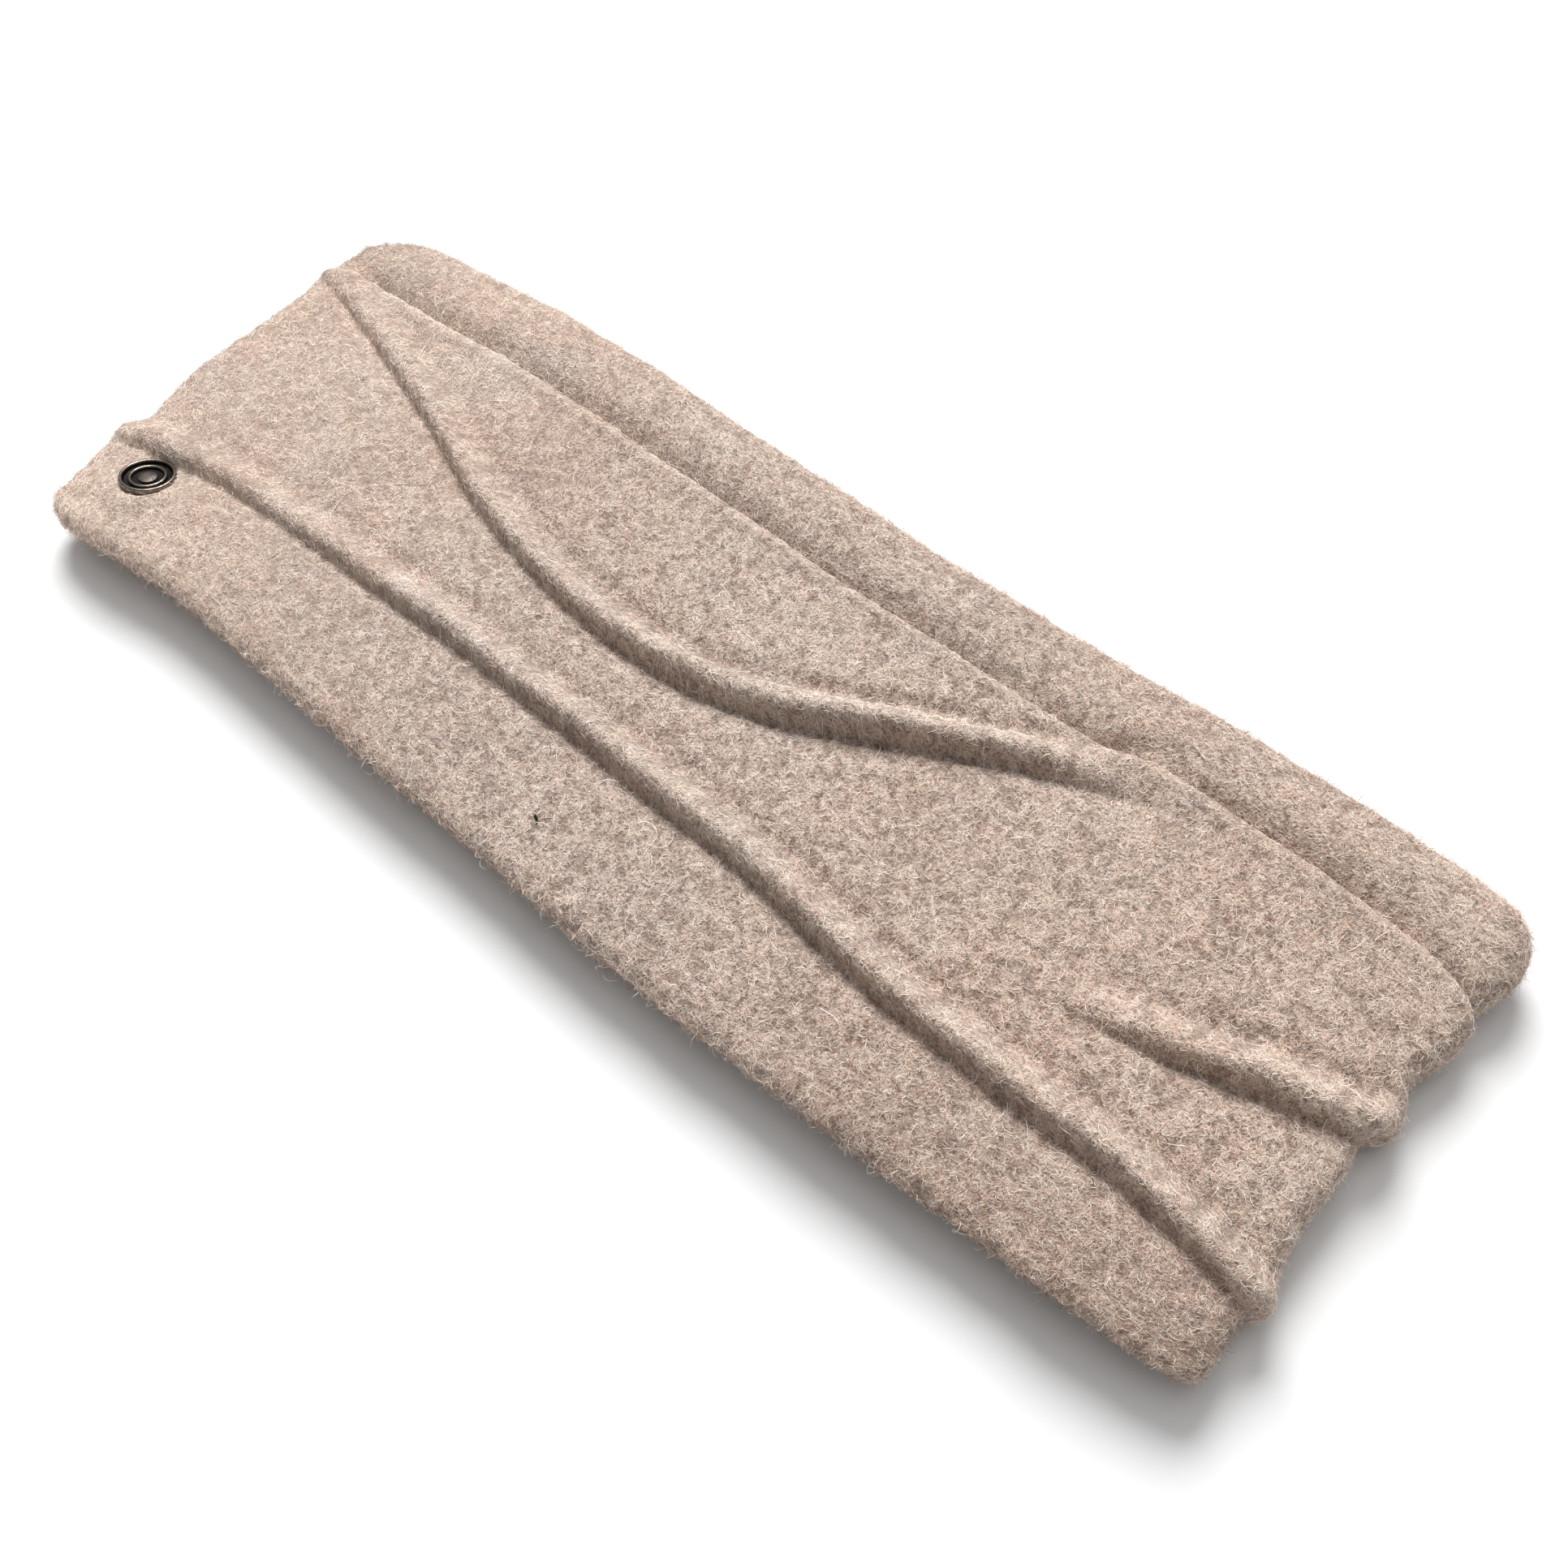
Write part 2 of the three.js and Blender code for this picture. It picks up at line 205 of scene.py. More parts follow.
TUCKS = [
    tuck_path([(-140, 33, 3.0, 0), (-126, 28.7, 3.0, 0.9), (-110, 23.3, 2.9, 1.5), (-94, 18.1, 2.7, 1.9),
               (-78, 13.0, 2.7, 2.2), (-46, 1.9, 2.5, 2.6), (-30, -1.3, 2.5, 3.4), (-12, -2.3, 2.6, 3.6),
               (2, -1.2, 2.7, 3.8), (16, 2.8, 3.1, 4.2), (34, 10.8, 3.1, 4.3), (50, 18.2, 2.9, 3.8),
               (58, 21.5, 3.1, 2.9), (67, 24.7, 3.8, 1.5), (79, 27.6, 4.2, 0)]),
    tuck_path([(-144, -28.5, 3.2, 0), (-124, -25.2, 3.2, 1.5), (-110, -22.8, 3.0, 1.8),
               (-94, -20.8, 2.7, 1.8), (-70, -19.7, 2.6, 2.1), (-40, -19.4, 2.6, 2.8),
               (-10, -19.2, 2.6, 3.5), (14, -20.0, 2.7, 3.7),
               (34, -20.5, 2.7, 3.7), (50, -22.5, 2.7, 3.6), (64, -24.1, 2.6, 3.5), (82, -24.6, 2.7, 3.5),
               (98, -24.2, 2.7, 3.5), (114, -25.6, 2.7, 3.3), (127, -27.4, 2.8, 3.0), (144, -30, 2.8, 0)]),
    tuck_path([(74, -9.4, 2.6, 0), (90, -6.9, 2.7, 1.9), (98, -5.0, 2.8, 3.3), (108, -1.8, 2.9, 3.8),
               (120, 1.5, 2.9, 3.6), (128, 4.6, 2.9, 3.0), (144, 9, 2.9, 0)]),
]
# A tuck's usual height, how far its crest leans down the width, and how much further it slopes
# off above its line than below.
TUCK_HEIGHT = 3.6
TUCK_LEAN = 0.5
BACK_REACH = 1.65

# Outline of the cloth at each fold: how far it stands out, by across.
FOLD_OUTLINES = {
    -1: smooth_line([(-44, -0.4), (-39, -0.6), (-32, -1.0), (-28, -0.6), (-24.5, 0.1),
                     (-21.5, -0.8), (-18, -1.5), (-13, -1.3), (-9, -0.7), (5, -1.5), (17, -1.7),
                     (23, -1.4), (28, -0.7), (32, -0.9), (36, -0.9), (41, -0.4)]),
    1: smooth_line([(-44, 0.1), (-40, 0.2), (-35, 0.0), (-31, -0.5), (-27, 1.7), (-23, 0.0), (-19, -1.1),
                    (-12, -1.5), (-4, -1.7), (1.5, -2.2), (4, -0.1), (6, 0.6), (8.5, -0.2), (12, -1.6),
                    (17, -0.7), (22, 0.2), (26, 0.0), (28.5, -0.6), (31, -0.1), (35, 0.7),
                    (41, 0.8), (45, -0.2)]),
}
# How far from the fold line this outline holds: the tucks run further over the right fold.
FOLD_HOLD = {-1: 7.5, 1: 5.0}


def tucks_at(run, across):
    """Height added by the tucks with the groove below each, and how far their crests lean."""
    lift = np.zeros_like(run)
    lean = np.zeros_like(run)
    for k, tuck in enumerate(TUCKS):
        height = tuck["height"](run) * (1 + 0.1 * noise(run, run * 0, 11, SEED + 50 + k))
        reach = tuck["reach"](run)
        off = across - tuck["line"](run) - 0.3 * noise(run, run * 0, 19, SEED + 40 + k)
        ahead = np.clip(-off / reach, 0, 1)
        behind = np.clip(off / (BACK_REACH * reach), 0, 1)
        crest = np.where(off < 0, (1 - ahead**2) ** 0.95, 0.5 + 0.5 * np.cos(math.pi * behind**1.15))
        groove = np.exp(-(((off + reach + 0.3) / 0.8) ** 2))
        valley = np.exp(-(((off + reach + 1.0) / 2.2) ** 2))
        hollow = np.exp(-(((off - BACK_REACH * reach - 0.6) / 1.6) ** 2))
        share = height / TUCK_HEIGHT
        lift += height * crest - share * (0.8 * groove + 0.5 * valley + 0.95 * hollow)
        lean -= share * TUCK_LEAN * crest
    return lift, lean


def clumps(run, across, lift):
    """Where the felted curls gather (up to 1) and where gaps show between them (down to -1)."""
    first = noise(run, across + lift, 1.15, SEED + 4)
    second = noise(run + 0.8 * lift, across - 0.8 * lift, 0.7, SEED + 5)
    return 0.6 * first + 0.4 * second


def badge_distance(run, across):
    return np.hypot(run - BADGE["run"], across - BADGE["across"])


def relief(run, across):
    """How far the wool's outer surface stands out at each place, and its lean over the width."""
    lift, lean = tucks_at(run, across)
    rear = smooth(np.abs(run), FOLD_LINE, FOLD_LINE + 12)
    broad = 0.55 * noise(run, across, 34, SEED) + 0.3 * noise(run, across, 15, SEED + 1)
    lumps = 0.16 * noise(run, across, 6, SEED + 2) + 0.07 * noise(run, across, 2.6, SEED + 3)
    fine = 0.14 * clumps(run, across, lift)
    lift = lift + broad * (1 - 0.8 * rear)
    hold = np.where(run < 0, FOLD_HOLD[-1], FOLD_HOLD[1])
    at_fold = np.exp(-(((np.abs(run) - FOLD_LINE) / hold) ** 2))
    outline = np.where(run < 0, FOLD_OUTLINES[-1](across), FOLD_OUTLINES[1](across))
    lift = lift * (1 - at_fold) + outline * at_fold
    away = badge_distance(run, across)
    near_badge = 1 - smooth(away, BADGE["radius"] + 0.2, BADGE["radius"] + 6)
    under_badge = 1 - smooth(away, BADGE["radius"] - 0.6, BADGE["radius"] + 0.6)
    seat = BADGE_SEAT - math.tan(BADGE["lean"]) * (across - BADGE["across"])
    seated = lift * (1 - near_badge) + seat * near_badge
    lift = np.maximum(seated, np.minimum(lift, 2.5) - 0.4) * (1 - under_badge) + (seat - 1.2) * under_badge
    lean = lean * (1 - at_fold)
    return lift + lumps * (1 - 0.6 * rear) + fine - 0.5 * rear, lean


# ---------------------------------------------------------------- the skin of a wool piece
# skin runs round the section: from the seam over the outer surface, round the long edge and
# in along the hem.
WOOL_PIECES = {
    "felt_panel": {"side": -1, "slot": "wool", "roll": 1.5, "roll_width": 1.1,
                   "dome": 0.0, "rim": 0.6},
    "felt_strip": {"side": 1, "slot": "wool_strip", "roll": 1.9, "roll_width": 2.2,
                   "dome": 1.1, "rim": 0.0},
}
# Half the gap at the seam, the thickness of the hem's turned-in cloth, and how far the inside of
# the turn lies past the middle of the rounded edge.
SEAM_GAP = 0.03
HEM_SKIN = 1.4
INSIDE_TURN = 0.15


def seam_edge(piece):
    return SEAM + piece["side"] * SEAM_GAP


def flat_length(piece):
    return HALF_WIDTH - EDGE_RADIUS - piece["side"] * seam_edge(piece)


def skin_length(piece):
    return flat_length(piece) + math.pi * EDGE_RADIUS + (HEM - EDGE_RADIUS)


def cut_width(piece, region):
    """Width of the flat cut: along the middle of the cloth's thickness, less what the edge draws in."""
    runs = np.linspace(region["from"], region["to"], 50)
    edge = np.full_like(runs, piece["side"] * HALF_WIDTH)
    drawn = np.mean(draw_in(runs, edge) - draw_in(runs, edge * 0 + seam_edge(piece)))
    hem_drawn = np.mean(draw_in(runs, edge) - draw_in(runs, edge - piece["side"] * HEM))
    return skin_length(piece) - math.pi * (EDGE_RADIUS - INSIDE_TURN) / 2 - drawn - hem_drawn


def mean_depth(piece):
    """How deep below the outer surface a wool piece lies, averaged over its section."""
    turn = math.pi * (EDGE_RADIUS + INSIDE_TURN) / 2
    hem = HEM - EDGE_RADIUS
    depths = flat_length(piece) * WOOL / 2 + turn * EDGE_RADIUS + hem * (LAYER - HEM_SKIN / 2)
    return depths / (flat_length(piece) + turn + hem)


def edge_droop(run, across):
    """The long edges of the two layers come together."""
    return 1.3 * (np.abs(across) / HALF_WIDTH) ** 5 * (1 - 0.6 * smooth(np.abs(plan_x(run)), 90, 122))


def seam_shift(run, across):
    """The seam isn't quite straight, and draws the cloth near it along."""
    return (SEAM_LINE(plan_x(run)) - SEAM) * np.exp(-(((across - SEAM) / 9) ** 2))


def skin_point(piece, run, skin, lift=0.0):
    """Unrolled points (run, across, height) of a wool piece's outer surface."""
    side = piece["side"]
    flat = flat_length(piece)
    bend = np.clip((skin - flat) / EDGE_RADIUS, 0, math.pi)
    inner = np.clip(skin - flat - math.pi * EDGE_RADIUS, 0, None)
    across = seam_edge(piece) + side * (np.minimum(skin, flat) + EDGE_RADIUS * np.sin(bend) - inner)
    height = -EDGE_RADIUS * (1 - np.cos(bend))
    stand, lean = relief(run, across)
    outer = 0.5 + 0.5 * np.cos(bend)
    near_fold = np.exp(-(((np.abs(run) - FOLD_LINE) / 9) ** 2)) + 0.8 * smooth(-run, 104, 116)
    roll_depth = piece["roll"] * (1 - 0.7 * np.clip(near_fold, 0, 1))
    seam_roll = -roll_depth * np.exp(-((skin / piece["roll_width"]) ** 1.4))
    dome = piece["dome"] * np.sin(math.pi * np.clip(skin / (flat + 3), 0, 1)) ** 0.8
    dome += piece["rim"] * np.exp(-(((skin - 2.4) / 1.5) ** 2))
    dome = dome * (1 - smooth(np.abs(run), FOLD_LINE - 8, FOLD_LINE + 6))
    back = -1.1 * np.exp(-(((np.abs(run) - BACK_SEAM) / 1.3) ** 2))
    stand = stand * (0.25 + 0.75 * outer) + (seam_roll + dome + back) * outer + lift
    wave = 0.4 * noise(run, run * 0 + side * 9, 26, SEED + 8) * np.sin(bend)
    droop = edge_droop(run, across)
    shift = seam_shift(run, across) * outer
    across = across + side * (stand * np.sin(bend) + wave) + lean * outer + shift
    return run, across, height + stand * np.cos(bend) - droop


def inside_of(piece, run):
    """The rest of the section: back along the inside of the hem and of the cloth."""
    side = piece["side"]
    edge = HALF_WIDTH - EDGE_RADIUS
    hem = -LAYER + HEM_SKIN
    out = [(side * (HALF_WIDTH - HEM + step * (edge - HALF_WIDTH + HEM)), hem) for step in (0, 0.5, 1)]
    turn = [(side * (edge + INSIDE_TURN), (hem - WOOL) / 2)]
    back = [(side * edge + step * (seam_edge(piece) - side * edge), -WOOL) for step in np.linspace(0, 1, 6)]
    rest = np.array(out + turn + back)
    across = np.tile(rest[:, 0], (len(run), 1))
    run = np.repeat(run[:, None], len(rest), 1)
    height = np.tile(rest[:, 1], (len(run), 1)) - edge_droop(run, across)
    return run, across + seam_shift(run, across), height


# ---------------------------------------------------------------- meshes
# The size of the wool's faces along the run and over the width, how many points go round its edge
# and hem, the size of the lining's faces, and how deep a piece's end is sunk under the next one.
RUN_STEP = 0.5
SKIN_STEP = 0.42
EDGE_POINTS = 30
LINING_STEP = 1.2
END_SINK = 0.04

REGIONS = [
    {"name": "front_left", "from": -(FOLD_LINE - FOLD_REACH), "to": 0.0,
     "bodies": ("front_left", "front_middle"), "bend": (-KNEE - KNEE_REACH, -KNEE + KNEE_REACH)},
    {"name": "front_right", "from": 0.0, "to": FOLD_LINE - FOLD_REACH,
     "bodies": ("front_middle", "front_right"), "bend": (KNEE - KNEE_REACH, KNEE + KNEE_REACH)},
    {"name": "fold_right", "from": FOLD_LINE - FOLD_REACH, "to": FOLD_LINE + FOLD_REACH,
     "bodies": ("front_right", "rear_right"), "bend": (FOLD_LINE - FOLD_REACH, FOLD_LINE + FOLD_REACH)},
    {"name": "rear_right", "from": FOLD_LINE + FOLD_REACH, "to": BACK_SEAM,
     "bodies": ("rear_right", "rear_middle_right"),
     "bend": (BACK_SEAM - KNEE - KNEE_REACH, BACK_SEAM - KNEE + KNEE_REACH)},
    {"name": "rear_left", "from": -BACK_SEAM, "to": -(FOLD_LINE + FOLD_REACH),
     "bodies": ("rear_middle_left", "rear_left"),
     "bend": (-BACK_SEAM + KNEE - KNEE_REACH, -BACK_SEAM + KNEE + KNEE_REACH)},
    {"name": "fold_left", "from": -(FOLD_LINE + FOLD_REACH), "to": -(FOLD_LINE - FOLD_REACH),
     "bodies": ("rear_left", "front_left"), "bend": (-(FOLD_LINE + FOLD_REACH), -(FOLD_LINE - FOLD_REACH))},
]


def coarseness(region):
    """The rear, which lies face down, is made of larger faces."""
    return 2.0 if region["name"].startswith("rear") else 1.0


def cut_length(region, depth):
    """Length of the cloth of a region at a depth below the outer surface, in mm."""
    run = np.linspace(region["from"], region["to"], 200)
    line = wrap(run, run * 0, run * 0 - depth)
    return np.linalg.norm(np.diff(line, axis=0), axis=1).sum()


def new_object(name, points, faces):
    """Makes a mesh of unrolled points (mm), keeps them as the cloth attribute, and wraps it.
    """
    mesh = bpy.data.meshes.new(name)
    corners = np.concatenate([np.ravel(f) for f in faces]).astype(np.int32)
    sizes = np.concatenate([np.full(len(f), len(f[0])) for f in faces])
    mesh.vertices.add(len(points))
    mesh.loops.add(len(corners))
    mesh.polygons.add(len(sizes))
    mesh.vertices.foreach_set("co", (points * MM).astype(np.float32).ravel())
    mesh.loops.foreach_set("vertex_index", corners)
    mesh.polygons.foreach_set("loop_start", (np.cumsum(sizes) - sizes).astype(np.int32))
    mesh.update(calc_edges=True)
    mesh.polygons.foreach_set("use_smooth", sizes == 4)
    obj = bpy.data.objects.new(name, mesh)
    bpy.context.scene.collection.objects.link(obj)
    rest = mesh.attributes.new("cloth", "FLOAT_VECTOR", "POINT")
    rest.data.foreach_set("vector", (points * MM).astype(np.float32).ravel())
    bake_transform(obj)
    wrapped = wrap(points[:, 0], points[:, 1], points[:, 2]) * MM
    mesh.vertices.foreach_set("co", wrapped.astype(np.float32).ravel())
    mesh.update()
    return obj


def tube(rows, columns, turned):
    """Faces of a closed section swept along: quads round the sides, and a cap at each end."""
    row = np.arange(rows - 1)[:, None]
    column = np.arange(columns)[None, :]
    after = (column + 1) % columns
    a = row * columns + column
    b = row * columns + after
    quads = np.stack([a, b, b + columns, a + columns], -1).reshape(-1, 4)
    first = np.arange(columns)[None, :]
    last = first + (rows - 1) * columns
    if turned:
        return [quads[:, ::-1], first, last[:, ::-1]]
    return [quads, first[:, ::-1], last]


def overlapping_runs(region, step):
    """Runs over a region and one step past each end, and how far each row is sunk.

    The row past the end lies just under the next region's cloth, so the two meet smoothly.
    """
    count = round((region["to"] - region["from"]) / step)
    gap = (region["to"] - region["from"]) / count
    runs = region["from"] + gap * np.arange(-1, count + 2)
    runs[1], runs[-2] = region["from"], region["to"]
    sunk = np.zeros((len(runs), 1))
    sunk[[0, -1]] = END_SINK
    return runs, sunk


def wool_piece(kind, region):
    piece = WOOL_PIECES[kind]
    coarse = coarseness(region)
    runs, overlap = overlapping_runs(region, RUN_STEP * coarse)
    flat = flat_length(piece)
    outer = np.linspace(0, flat, round(flat / (SKIN_STEP * coarse)))
    rest = np.linspace(flat, skin_length(piece), EDGE_POINTS)[1:]
    run_grid, skin_grid = np.meshgrid(runs, np.concatenate([outer, rest]), indexing="ij")
    parts = [skin_point(piece, run_grid, skin_grid), inside_of(piece, runs)]
    run, across, height = (np.concatenate(both, 1) for both in zip(*parts))
    points = np.stack([run, across, height - overlap], -1).reshape(-1, 3)
    faces = tube(*run.shape, turned=piece["side"] > 0)
    obj = new_object(f"{kind}_{region['name']}", points, faces)
    lift = tucks_at(points[:, 0], points[:, 1])[0]
    # The clumps attribute is the curls' clumping plus painted light: raised on the tuck crests for a
    # painted highlight, lowered in the grooves for painted shade.
    gathered = clumps(points[:, 0], points[:, 1], lift) + 0.25 * np.clip(lift / TUCK_HEIGHT, -0.6, 1)
    gathered = gathered.astype(np.float32)
    obj.data.attributes.new("clumps", "FLOAT", "POINT").data.foreach_set("value", gathered)
    obj.data.materials.append(MATERIALS["wool"])
    size = (cut_width(piece, region) * MM, cut_length(region, mean_depth(piece)) * MM)


LINING_HALF_WIDTH = HALF_WIDTH - HEM - 0.3
LINING_TOP = WOOL + 0.3


def lining_piece(region):
    runs, overlap = overlapping_runs(region, LINING_STEP)
    columns = round(2 * LINING_HALF_WIDTH / LINING_STEP)
    down = np.linspace(LINING_HALF_WIDTH, -LINING_HALF_WIDTH, columns)
    run, across = np.meshgrid(runs, down, indexing="ij")
    droop = edge_droop(run, across)
    fleecy = 0.12 * noise(run, across, 2.2, SEED + 20) + 0.15 * noise(run, across, 7, SEED + 21)
    inner = 0.1 - LAYER - fleecy - droop + overlap
    outer = -LINING_TOP - droop
    across = np.concatenate([across, across[:, ::-1]], 1)
    height = np.concatenate([inner, outer[:, ::-1]], 1)
    run = np.concatenate([run, run], 1)
    points = np.stack([run, across, height], -1).reshape(-1, 3)
    obj = new_object(f"fleece_{region['name']}", points, tube(*run.shape, turned=True))
    obj.data.materials.append(MATERIALS["lining"])
    size = (2 * LINING_HALF_WIDTH * MM, cut_length(region, (LINING_TOP + LAYER) / 2) * MM)


# ---------------------------------------------------------------- fibres
FIBRE_POINTS = 5
FIBRES_PER_MM2 = 6.0
SHADES = ["fibre_cream", "fibre_beige", "fibre_rose", "fibre_brown"]
SHADE_LIMITS = [0.40, 0.68, 0.88]


def fibre_lines(piece, region, count, length, rise, curl, rng, skin_range=None):
    """Centre lines of curled fibres growing out of a wool piece, unrolled: (count, points, 3)."""
    low, high = skin_range or (0.0, flat_length(piece) + math.pi * EDGE_RADIUS)
    root_run = rng.uniform(region["from"], region["to"], count)
    root_skin = rng.uniform(low, high, count)
    root_across = seam_edge(piece) + piece["side"] * root_skin
    gathered = clumps(root_run, root_across, tucks_at(root_run, root_across)[0])
    kept = smooth(gathered, -0.25, 0.3) > rng.uniform(-0.06, 1, count)
    kept &= badge_distance(root_run, root_across) > BADGE["radius"]
    root_run, root_skin = root_run[kept], root_skin[kept]
    count = len(root_run)
    heading = rng.uniform(0, 2 * math.pi, count)
    turn = rng.normal(0, curl, count)
    size = length * rng.lognormal(0, 0.35, count)
    reach = rise * rng.lognormal(0, 0.5, count)
    t = np.linspace(0, 1, FIBRE_POINTS)[None, :]
    angle = heading[:, None] + turn[:, None] * t
    step = size[:, None] / (FIBRE_POINTS - 1)
    run = root_run[:, None] + np.cumsum(np.cos(angle) * step, 1) - np.cos(angle[:, :1]) * step
    skin = root_skin[:, None] + np.cumsum(np.sin(angle) * step, 1) - np.sin(angle[:, :1]) * step
    arch = reach[:, None] * np.sin(t * math.pi * rng.uniform(0.45, 0.95, count)[:, None]) - 0.08
    run, across, height = skin_point(piece, run, np.abs(skin), arch)
    return np.stack([run, across, height], -1)


def ribbons(lines, width, rng):
    """Thin tapering ribbons along centre lines, of one width or one each: points and quads."""
    count, steps, _ = lines.shape
    along = np.gradient(lines, axis=1)
    along /= np.linalg.norm(along, axis=2, keepdims=True) + 1e-9
    facing = np.zeros_like(lines)
    facing[..., 2] = 1
    facing[..., :2] = rng.normal(0, 0.5, (count, 1, 2))
    sideways = np.cross(along, facing)
    sideways /= np.linalg.norm(sideways, axis=2, keepdims=True) + 1e-9
    taper = np.interp(np.linspace(0, 1, steps), [0, 0.4, 1], [0.9, 1.0, 0.35])
    half = (0.5 * width * rng.uniform(0.7, 1.3, count))[:, None, None] * taper[None, :, None]
    points = np.stack([lines - sideways * half, lines + sideways * half], 2).reshape(-1, 3)
    base = (np.arange(count) * steps * 2)[:, None] + (np.arange(steps - 1) * 2)[None, :]
    quads = np.stack([base, base + 1, base + 3, base + 2], -1).reshape(-1, 4)
    return points, quads


def fibre_shades(roots, rng):
    """Which shade each fibre has: in loose patches, lighter on the tuck crests as painted highlight and
    browner in their grooves as painted shade, lighter at the ends as painted light, and browner at the low
    right corner as painted shade.
    """
    run, across = roots[:, 0], roots[:, 1]
    patch = 0.1 * noise(run, across, 18, SEED + 30) + 0.05 * noise(run, across, 3.6, SEED + 31)
    # Painted light: fibres lie lighter at both ends; painted shade: browner at the low right corner.
    painted_shade_low_right = smooth(run, 60, 100) * smooth(-across, 22, 34)
    painted_lighting = 0.12 * smooth(-run, 30, 100) + 0.12 * smooth(run, 70, 120) - 0.22 * painted_shade_low_right
    # Painted highlight on the tuck crests and painted shade in the grooves beside them.
    crest = 0.24 * np.clip(tucks_at(run, across)[0] / TUCK_HEIGHT, -0.5, 1)
    draw = rng.uniform(0, 1, len(roots)) + patch - painted_lighting - crest
    return np.searchsorted(SHADE_LIMITS, draw).astype(np.int32)


def pile(kind, region, rng):
    """The curled fibres that stand out of a wool piece."""
    piece = WOOL_PIECES[kind]
    length = region["to"] - region["from"]
    edge = flat_length(piece)
    area = length * (edge + math.pi * EDGE_RADIUS)
    dense = FIBRES_PER_MM2 / coarseness(region)
    along_edge = (edge - 1.5, edge + math.pi * EDGE_RADIUS)
    # Each group's width and lines: the pile, longer stray fibres in it, and the fuzz of the edge.
    groups = [
        (0.075, fibre_lines(piece, region, int(area * dense), 1.3, 0.24, 3.2, rng)),
        (0.075, fibre_lines(piece, region, int(area * dense * 0.12), 1.7, 0.5, 3.0, rng)),
        (0.055, fibre_lines(piece, region, int(length * 60), 1.7, 0.6, 3.8, rng, along_edge)),
    ]
    if region["name"].startswith("fold"):
        groups.append((0.055, fibre_lines(piece, region, int(area * 3), 1.7, 0.5, 4.0, rng)))
    lines = np.concatenate([group for _, group in groups])
    widths = np.concatenate([np.full(len(group), width) for width, group in groups])
    points, quads = ribbons(lines, widths, rng)
    obj = new_object(f"{kind}_pile_{region['name']}", points, [quads])
    for shade in SHADES:
        obj.data.materials.append(MATERIALS[shade])
    shades = np.repeat(fibre_shades(lines[:, 0], rng), FIBRE_POINTS - 1)
    obj.data.polygons.foreach_set("material_index", shades)


# Loose hairs lying on the front: run, across, length, heading in degrees, turn, width, shade.
LOOSE_HAIRS = [
    (13.5, -27, 7, -60, 3.0, 0.1, "loose_pale"), (17, -28.5, 6, 10, -2.6, 0.09, "loose_pale"),
    (4, -25, 5, -80, 1.6, 0.08, "loose_pale"), (55, -33, 5, -20, 1.0, 0.09, "loose_pale"),
    (70, -7, 8, -35, 1.4, 0.08, "loose_dark"), (75, -10, 6, 70, 2.6, 0.07, "loose_dark"),
    (88, 2, 5, -60, 0.8, 0.09, "loose_dark"), (-9, -24, 5, 60, 1.2, 0.08, "loose_dark"),
    (-8, -25, 4, 10, 1.6, 0.07, "loose_dark"), (-30, -24.5, 3, -60, 1.0, 0.07, "loose_dark"),
    (100, -38, 7, 10, 1.9, 0.05, "fibre_cream"), (48, 36, 6, 40, 2.0, 0.05, "fibre_cream"),
    (-78, 22, 6, 15, 2.1, 0.05, "fibre_cream"), (0.3, -36, 1.5, 15, 0.3, 0.6, "loose_dark"),
]
HAIR_POINTS = 12


def loose_hairs(rng):
    piece = WOOL_PIECES["felt_panel"]
    strip = WOOL_PIECES["felt_strip"]
    t = np.linspace(0, 1, HAIR_POINTS)
    for k, (run, across, length, heading, turn, width, shade) in enumerate(LOOSE_HAIRS):
        on = strip if across > SEAM else piece
        angle = math.radians(heading) + turn * t
        step = length / (HAIR_POINTS - 1)
        run_line = run + np.cumsum(np.cos(angle)) * step
        skin = on["side"] * (across - seam_edge(on)) + np.cumsum(np.sin(angle)) * step
        lift = 0.4 + 0.8 * width + 0.25 * np.sin(t * 7 + k)
        line = np.stack(skin_point(on, run_line, skin, lift), -1)[None]
        points, quads = ribbons(line, width, rng)
        obj = new_object(f"loose_hair_{k + 1}", points, [quads])
        obj.data.materials.append(MATERIALS[shade])


# ---------------------------------------------------------------- materials
def srgb(red, green, blue):
    """A colour named by its 0 to 255 display values, as linear light."""
    values = [c / 255 for c in (red, green, blue)]
    return tuple(c / 12.92 if c <= 0.04045 else ((c + 0.055) / 1.055) ** 2.4 for c in values) + (1.0,)


